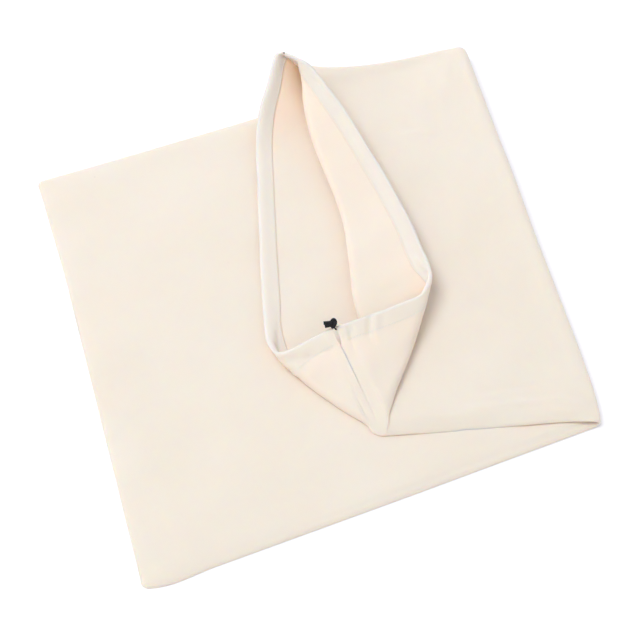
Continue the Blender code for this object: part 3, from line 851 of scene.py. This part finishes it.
def cloth_piece(layers, joined, look):
    """The whole sheet as one closed mesh, with the cloth's own lengths as its map."""
    vertices = []
    index = []
    rows, cols = layers[0]["points"].shape[:2]
    for k, layer in enumerate(layers):
        ids = np.zeros((rows, cols), int)
        for r in range(rows):
            for c in range(cols):
                if k == 1 and (r == 0 or (c in (0, cols - 1) and r <= joined)):
                    ids[r, c] = index[0][r, c]
                    continue
                ids[r, c] = len(vertices)
                vertices.append(layer["points"][r, c])
        index.append(ids)
    faces = []
    where = []
    for layer, ids, side in zip(layers, index, (1, -1)):
        for r in range(rows - 1):
            for c in range(cols - 1):
                corners = [(r, c), (r + 1, c), (r + 1, c + 1), (r, c + 1)][::side]
                faces.append([int(ids[p]) for p in corners])
                where += [(side * layer["across"][p[1]] * MM, layer["to_rim"][p] * MM) for p in corners]
    piece = mesh_piece("cloth", in_frame(vertices), faces, look)
    lengths = piece.data.uv_layers.new(name="cloth_lengths")
    lengths.data.foreach_set("uv", np.array(where, float).ravel())
    shell = piece.modifiers.new("thickness", "SOLIDIFY")
    shell.thickness = THICKNESS * MM
    shell.offset = 0.0
    shell.use_even_offset = False
    thick = plain_mesh(piece)
    piece.modifiers.clear()
    piece.data = thick
    return piece


# The hem's stitches: length, distance from one to the next
STITCH = 2.3
STITCH_PITCH = 3.2
# How far ahead a stitch looks for its direction, and how many columns at a slit stay without stitches
STITCH_AHEAD = 0.5
STITCH_INSET = 3
THREAD = 0.26
THREAD_SIDES = 6
# Along one stitch: share of its length, height of the thread's middle over the cloth
STITCH_FORM = ((0.0, -0.3), (0.12, 0.02), (0.35, 0.14), (0.65, 0.14), (0.88, 0.02), (1.0, -0.3))


def stitch_points(line, normal, way, start):
    """One stitch's rings of points, from end to end."""
    points = []
    for share, height in STITCH_FORM:
        at = start + share * STITCH
        place = at_way(line, way, at)
        ahead = at_way(line, way, at + STITCH_AHEAD) - place
        out = unit(at_way(normal, way, at))
        over = unit(np.cross(ahead, out))
        middle = place + out * (THICKNESS / 2 + height)
        for side in range(THREAD_SIDES):
            turn = 2 * math.pi * side / THREAD_SIDES
            points.append(middle + THREAD * (over * math.cos(turn) + out * math.sin(turn)))
    return points


def stitch_faces(first):
    """One closed stitch's faces, for points from the given number on."""
    faces = []
    last = first + (len(STITCH_FORM) - 1) * THREAD_SIDES
    for ring in range(first, last, THREAD_SIDES):
        for side in range(THREAD_SIDES):
            a = ring + side
            b = ring + (side + 1) % THREAD_SIDES
            faces.append((a, b, b + THREAD_SIDES, a + THREAD_SIDES))
    faces.append(tuple(range(first, first + THREAD_SIDES))[::-1])
    faces.append(tuple(range(last, last + THREAD_SIDES)))
    return faces


def hem_stitches(layers, stitch_rows, look):
    """Short threads along both hems, on the outside and on the turned-in side."""
    vertices = []
    faces = []
    inner = slice(STITCH_INSET, -STITCH_INSET)
    for layer, upper_flap in zip(layers, (True, False)):
        normals = outward_normals(layer["points"], upper_flap)
        for row in stitch_rows:
            line = layer["points"][row, inner]
            way = ways(line)
            for start in np.arange(STITCH_PITCH, way[-1] - STITCH_PITCH, STITCH_PITCH):
                faces += stitch_faces(len(vertices))
                vertices += stitch_points(line, normals[row, inner], way, start)
    return mesh_piece("hem_stitches", in_frame(vertices), faces, look)


def new_material(name, surface):
    """A material with its shader's own values. Returns it with its node tree and its shader."""
    made = bpy.data.materials.new(name)
    made.use_nodes = True
    shader = made.node_tree.nodes["Principled BSDF"]
    for socket, value in surface.items():
        shader.inputs[socket].default_value = value
    return made, made.node_tree, shader


def node(tree, kind, **values):
    """A new shader node, with its properties or the start values of its inputs."""
    made = tree.nodes.new(kind)
    for name, value in values.items():
        if hasattr(made, name):
            setattr(made, name, value)
        else:
            made.inputs[name].default_value = value
    return made


def texture(tree, kind, place, **values):
    """A texture node laid out by the given places."""
    made = node(tree, kind, **values)
    tree.links.new(place, made.inputs["Vector"])
    return made


def calc(tree, operation, *operands, clamp=False):
    """A Math node. Each operand is a number or another node's output."""
    made = node(tree, "ShaderNodeMath", operation=operation, use_clamp=clamp)
    for socket, value in zip(made.inputs, operands):
        if isinstance(value, (int, float)):
            socket.default_value = value
        else:
            tree.links.new(value, socket)
    return made.outputs[0]


def product(tree, first, *others):
    """The product of numbers and node outputs."""
    for other in others:
        first = calc(tree, "MULTIPLY", first, other)
    return first


def blend(tree, factor, first, second):
    """A colour mix. The factor is an output, and each colour is a colour or an output."""
    made = node(tree, "ShaderNodeMix", data_type="RGBA")
    for name, value in ((0, factor), (6, first), (7, second)):
        if isinstance(value, tuple):
            made.inputs[name].default_value = (*value, 1)
        else:
            tree.links.new(value, made.inputs[name])
    return made.outputs[2]


def fade(tree, away, size, blunt, sharp):
    """1 near a place and 0 far from it, between two shares of the size."""
    made = node(tree, "ShaderNodeMapRange", interpolation_type="SMOOTHSTEP")
    made.inputs["From Min"].default_value = size * blunt
    made.inputs["From Max"].default_value = size * sharp
    tree.links.new(away, made.inputs["Value"])
    return made.outputs["Result"]


def stand_out(tree, shader, height, strength, distance):
    """Makes the surface stand out by a height pattern."""
    made = node(tree, "ShaderNodeBump", Strength=strength, Distance=distance)
    tree.links.new(height, made.inputs["Height"])
    tree.links.new(made.outputs["Normal"], shader.inputs["Normal"])


COTTON_SURFACE = {
    "Roughness": 0.9,
    "Specular IOR Level": 0.12,
    "Sheen Weight": 0.06,
    "Sheen Roughness": 0.6,
    "Subsurface Weight": 0.7,
    "Subsurface Scale": 0.0021,
    "Subsurface Radius": (1.0, 0.62, 0.3),
}
COTTON_LIGHT = (0.915, 0.75, 0.63)
COTTON_WARM = (0.905, 0.73, 0.60)
CLOUD_CONTRAST = 2.0
CLOUD_SHIFT = -0.5
# Paler slubs along the threads: tone, strength, how often they come along and across the cloth
SLUB_TONE = (0.95, 0.83, 0.72)
SLUB_SHARE = 0.25
SLUB_STRETCH = (70.0, 900.0, 1.0)
# The hem's cooler tone on its turned-in side, and the same paler tone along the very rim as a painted
# highlight, widths in metres
HEM_AND_RIM_HIGHLIGHT_TONE = (0.885, 0.77, 0.69)
HEM_WIDE = 0.0168
HEM_SHARE = 0.3
RIM_HIGHLIGHT_WIDE = 0.0034
RIM_HIGHLIGHT_SHARE = 0.7
RIM_HIGHLIGHT_EDGE = (1.3, 0.7)
# Dark seed specks: x, y, z and radius
SPECKS = ((63.0, 480.0, 5.0, 1.3), (385.0, 341.0, 15.5, 0.9))
SPECK_TONE = (0.30, 0.24, 0.18)
SPECK_SHARE = 0.75
SPECK_EDGE = (1.3, 0.4)
# Fine flecks: how many to the metre, their size as a share of a cell, tone and strength
FLECKS = 45.0
FLECK_SIZE = 0.018
FLECK_TONE = (0.50, 0.40, 0.28)
FLECK_SHARE = 0.3
# The two tones of the sewing thread and of the cord's strands
THREAD_TONES = ((0.86, 0.80, 0.72), (0.78, 0.71, 0.62))
CORD_TONES = ((0.016, 0.015, 0.017), (0.006, 0.006, 0.007))
# The weave: distance between threads in metres, height of the fuzz against its own
THREAD_PITCH = 0.00075
FUZZ = 1.5


def cotton_tone(tree, place, lengths):
    """The undyed cloth's colour, with soft clouds and paler slubs."""
    cloud = texture(tree, "ShaderNodeTexNoise", place, Scale=9.0, Detail=3.0, Roughness=0.55)
    tone = calc(tree, "MULTIPLY_ADD", cloud.outputs["Fac"], CLOUD_CONTRAST, CLOUD_SHIFT, clamp=True)
    colour = blend(tree, tone, COTTON_LIGHT, COTTON_WARM)
    stretch = node(tree, "ShaderNodeVectorMath", operation="MULTIPLY")
    stretch.inputs[1].default_value = SLUB_STRETCH
    tree.links.new(lengths, stretch.inputs[0])
    slub = texture(tree, "ShaderNodeTexNoise", stretch.outputs["Vector"], Scale=1.0, Detail=2.0)
    over_half = calc(tree, "SUBTRACT", slub.outputs["Fac"], 0.5)
    return blend(tree, calc(tree, "MULTIPLY", over_half, SLUB_SHARE, clamp=True), colour, SLUB_TONE)


def hem_tone_and_rim_highlight(tree, colour, beyond_rim):
    """Adds the hem's cooler tone, and a paler band along the very rim as a painted highlight. On the
    turned-in side the distance from the rim is negative.
    """
    from_rim = calc(tree, "ABSOLUTE", beyond_rim)
    turned_in = calc(tree, "LESS_THAN", beyond_rim, 0.0)
    in_hem = product(tree, turned_in, calc(tree, "LESS_THAN", from_rim, HEM_WIDE), HEM_SHARE)
    # A paler band along the very rim, on both sides of it: a painted highlight on the rolled edge
    painted_rim_highlight = product(tree, fade(tree, from_rim, RIM_HIGHLIGHT_WIDE, *RIM_HIGHLIGHT_EDGE), RIM_HIGHLIGHT_SHARE)
    return blend(tree, calc(tree, "ADD", in_hem, painted_rim_highlight), colour, HEM_AND_RIM_HIGHLIGHT_TONE)


def specks(tree, colour, place):
    """Adds the dark seed specks and the fine flecks."""
    for x, y, z, radius in SPECKS:
        away = node(tree, "ShaderNodeVectorMath", operation="DISTANCE")
        away.inputs[1].default_value = in_frame([(x, y, z)])[0]
        tree.links.new(place, away.inputs[0])
        near = fade(tree, away.outputs["Value"], radius * MM, *SPECK_EDGE)
        colour = blend(tree, product(tree, near, SPECK_SHARE), colour, SPECK_TONE)
    cells = texture(tree, "ShaderNodeTexVoronoi", place, Scale=FLECKS)
    fleck = product(tree, calc(tree, "LESS_THAN", cells.outputs["Distance"], FLECK_SIZE), FLECK_SHARE)
    return blend(tree, fleck, colour, FLECK_TONE)


def weave_height(tree, place, across, down):
    """The height of a plain weave with some fuzz on it."""
    warp = calc(tree, "COSINE", product(tree, across, math.pi / THREAD_PITCH))
    weft = calc(tree, "COSINE", product(tree, down, math.pi / THREAD_PITCH))
    over = product(tree, warp, weft, 0.5)
    warp_high = product(tree, warp, warp, calc(tree, "ADD", over, 0.5))
    weft_high = product(tree, weft, weft, calc(tree, "SUBTRACT", 0.5, over))
    fuzz = texture(tree, "ShaderNodeTexNoise", place, Scale=420.0, Detail=3.0)
    woven = calc(tree, "ADD", warp_high, weft_high)
    return calc(tree, "ADD", woven, product(tree, fuzz.outputs["Fac"], FUZZ))


def cotton_material():
    """Plain woven unbleached cotton: thread-high weave, uneven tone, faint flecks and two dark specks."""
    made, tree, shader = new_material("unbleached_cotton", COTTON_SURFACE)
    place = node(tree, "ShaderNodeTexCoord").outputs["Object"]
    lengths = node(tree, "ShaderNodeUVMap", uv_map="cloth_lengths").outputs["UV"]
    split = node(tree, "ShaderNodeSeparateXYZ")
    tree.links.new(lengths, split.inputs[0])
    colour = cotton_tone(tree, place, lengths)
    colour = hem_tone_and_rim_highlight(tree, colour, split.outputs["Y"])
    colour = specks(tree, colour, place)
    tree.links.new(colour, shader.inputs["Base Color"])
    height = weave_height(tree, place, split.outputs["X"], split.outputs["Y"])
    stand_out(tree, shader, height, strength=0.25, distance=0.00012)
    return made


def thread_material():
    """Cotton sewing thread, a little paler than the cloth, with its twist as bump."""
    made, tree, shader = new_material("cotton_thread", {"Roughness": 0.8})
    place = node(tree, "ShaderNodeTexCoord").outputs["Object"]
    twist = texture(tree, "ShaderNodeTexNoise", place, Scale=700.0, Detail=2.0).outputs["Fac"]
    tree.links.new(blend(tree, twist, *THREAD_TONES), shader.inputs["Base Color"])
    stand_out(tree, shader, twist, strength=0.4, distance=0.0001)
    return made


def cord_material():
    """Black braided cord: crossing strands as bump, with a slight dusty tone on them."""
    made, tree, shader = new_material("black_braided_cord", {"Roughness": 0.7, "Specular IOR Level": 0.3})
    place = node(tree, "ShaderNodeTexCoord").outputs["Object"]
    strands = texture(tree, "ShaderNodeTexVoronoi", place, Scale=1300.0).outputs["Distance"]
    tree.links.new(blend(tree, strands, *CORD_TONES), shader.inputs["Base Color"])
    stand_out(tree, shader, strands, strength=0.6, distance=0.0002)
    return made


# Radii of the cord in the casing, in the knot and at its tails, its clearance and its roundness
CORD = 0.9
KNOT_CORD = 1.9
TAIL_CORD = 1.8
CORD_CLEAR = 0.15
CORD_BEVEL = 4
# How often the cord is moved clear, where along each stretch, and how gently
CORD_PASSES = 60
CORD_SHARES = (0.0, 0.25, 0.5, 0.75)
CORD_GENTLE = 0.4
# The knot's middle, its span, how high it stands, and its points
KNOT = np.array([237.9, 179.5, 42.1])
KNOT_SPAN = 1.12
KNOT_HIGH = 1.8
KNOT_POINTS = 120
# The knot's two tails side by side, from the knot to their cut ends: x, y, z
TAILS = (
    ((236.4, 180.5, 42.8), (232.6, 181.3, 43.0), (229.2, 182.4, 42.8)),
    ((236.2, 178.2, 41.8), (232.4, 178.7, 41.6), (229.4, 179.5, 41.3)),
)
# The drawstring's two legs from the knot down into the near slit: half their distance apart, y, z
LEGS = ((0.9, 179.4, 39.8), (1.0, 178.6, 37.6), (1.1, 177.2, 35.8), (2.2, 175.2, 35.2), (4.2, 173.6, 36.0))


def tube(name, points, radius, look):
    """A round cord through the points, in millimetres of the body's frame, as a closed mesh."""
    curve = bpy.data.curves.new(name, "CURVE")
    curve.dimensions = "3D"
    curve.bevel_depth = radius * MM
    curve.bevel_resolution = CORD_BEVEL
    curve.use_fill_caps = True
    line = curve.splines.new("POLY")
    line.points.add(len(points) - 1)
    for point, place in zip(line.points, in_frame(points)):
        point.co = (*place, 1)
    guide = place_piece(name, curve)
    mesh = plain_mesh(guide)
    bpy.data.objects.remove(guide, do_unlink=True)
    mesh.materials.clear()
    mesh.materials.append(look)
    mesh.shade_smooth()
    return place_piece(name, mesh)


def straight_on(way):
    """The point a little past a way's end."""
    step = way[-1] - way[-3]
    return way[-1] + step / np.linalg.norm(step) * FAR_LOOP


def cord_route(cord_ways):
    """From the knot through the lower casing, past the far slit, and back through the upper casing."""
    upper, lower = cord_ways
    down = [(KNOT[0] - half, y, z) for half, y, z in LEGS]
    up = [(KNOT[0] + half, y, z) for half, y, z in reversed(LEGS)]
    turn = [straight_on(lower), straight_on(upper)]
    return np.array([KNOT] + down + list(lower) + turn + list(upper[::-1]) + up + [KNOT])


def clear_of(cloth, route):
    """Moves a cord's route away from the cloth round it until the cord lies clear of it."""
    tree = BVHTree.FromObject(cloth, bpy.context.evaluated_depsgraph_get())
    need = CORD + CORD_CLEAR
    for _ in range(CORD_PASSES):
        push = np.zeros_like(route)
        for k in range(len(route) - 1):
            for share in CORD_SHARES:
                here = mix(route[k], route[k + 1], share)
                place, _, _, _ = tree.find_nearest(Vector(here - BODY_ORIGIN) * MM)
                away = here - (np.array(place) / MM + BODY_ORIGIN)
                size = np.linalg.norm(away)
                if size < need:
                    step = away / size * (need - size) * CORD_GENTLE
                    push[k] += step * (1 - share)
                    push[k + 1] += step * share
        push[0] = push[-1] = 0
        route = route + push
    return route


def stop_knot(look):
    """The cord's stop knot, drawn tight."""
    turn = np.linspace(0, 2 * math.pi, KNOT_POINTS, endpoint=False)
    plan = np.column_stack([
        np.sin(turn) + 2 * np.sin(2 * turn),
        np.cos(turn) - 2 * np.cos(2 * turn),
        -np.sin(3 * turn) * KNOT_HIGH,
    ])
    points = KNOT + plan * KNOT_SPAN
    return tube("stop_knot", list(points) + [points[0], points[1]], KNOT_CORD, look)


def drawstring(cloth, cord_ways, look):
    """The cord in the casings, with its knot and tails, as one piece."""
    pieces = [tube("cord", clear_of(cloth, cord_route(cord_ways)), CORD, look), stop_knot(look)]
    pieces += [tube("tail", tail, TAIL_CORD, look) for tail in TAILS]
    with bpy.context.temp_override(active_object=pieces[0], selected_editable_objects=pieces):
        bpy.ops.object.join()
    pieces[0].name = "cord"
    return pieces[0]


# The floor's half size, the lamp, and the camera's place and aim, in metres
FLOOR_HALF = 6.0
PAPER = {"Base Color": (0.96, 0.96, 0.96, 1), "Roughness": 1.0, "Specular IOR Level": 0.0}
LIGHT_COLOUR = (0.955, 0.975, 1.035)
WORLD_LIGHT = 0.75
KEY_PLACE = (-2.0, 1.0, 4.7)
KEY_SIZE = 2.8
KEY_POWER = 143.0
VIEW_PLACE = (-0.22028, -0.53815, 0.8412)
VIEW_AIM = (-0.03568, -0.05665, 0.0)
LENS = 52.99
SENSOR = 36.0


def stage():
    """The white floor, the even studio light and one soft lamp from the far left."""
    corners = [(x * FLOOR_HALF, y * FLOOR_HALF, 0) for x, y in ((-1, -1), (1, -1), (1, 1), (-1, 1))]
    paper, _, _ = new_material("white_paper", PAPER)
    floor = mesh_piece("floor", corners, [(0, 1, 2, 3)], paper)
    world = bpy.data.worlds.new("studio")
    bpy.context.scene.world = world
    world.use_nodes = True
    back = world.node_tree.nodes["Background"]
    back.inputs["Color"].default_value = (*LIGHT_COLOUR, 1)
    back.inputs["Strength"].default_value = WORLD_LIGHT
    lamp = bpy.data.lights.new("key", "AREA")
    lamp.shape = "SQUARE"
    lamp.size = KEY_SIZE
    lamp.energy = KEY_POWER
    lamp.color = LIGHT_COLOUR
    aim_at(place_piece("key", lamp), Vector(KEY_PLACE), Vector((0, 0, 0)))


def aim_at(thing, place, target):
    """Puts a lamp or a camera at a place, looking at the target."""
    thing.location = place
    thing.rotation_euler = (target - place).to_track_quat("-Z", "Y").to_euler()


def camera():
    """The photograph's view of the bag."""
    data = bpy.data.cameras.new("photo_view")
    data.lens = LENS
    data.sensor_width = SENSOR
    view = place_piece("photo_view", data)
    aim_at(view, Vector(VIEW_PLACE), Vector(VIEW_AIM))
    bpy.context.scene.camera = view
    bpy.context.scene.view_settings.view_transform = "Standard"


stage()
camera()
layers, joined, stitch_rows, cord_ways = fine_layers()
cloth = cloth_piece(layers, joined, cotton_material())
stitches = hem_stitches(layers, stitch_rows, thread_material())
cord = drawstring(cloth, cord_ways, cord_material())
for piece in (cloth, stitches, cord):
    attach(piece, "root")
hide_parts("bag_cloth")
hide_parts("drawstring")
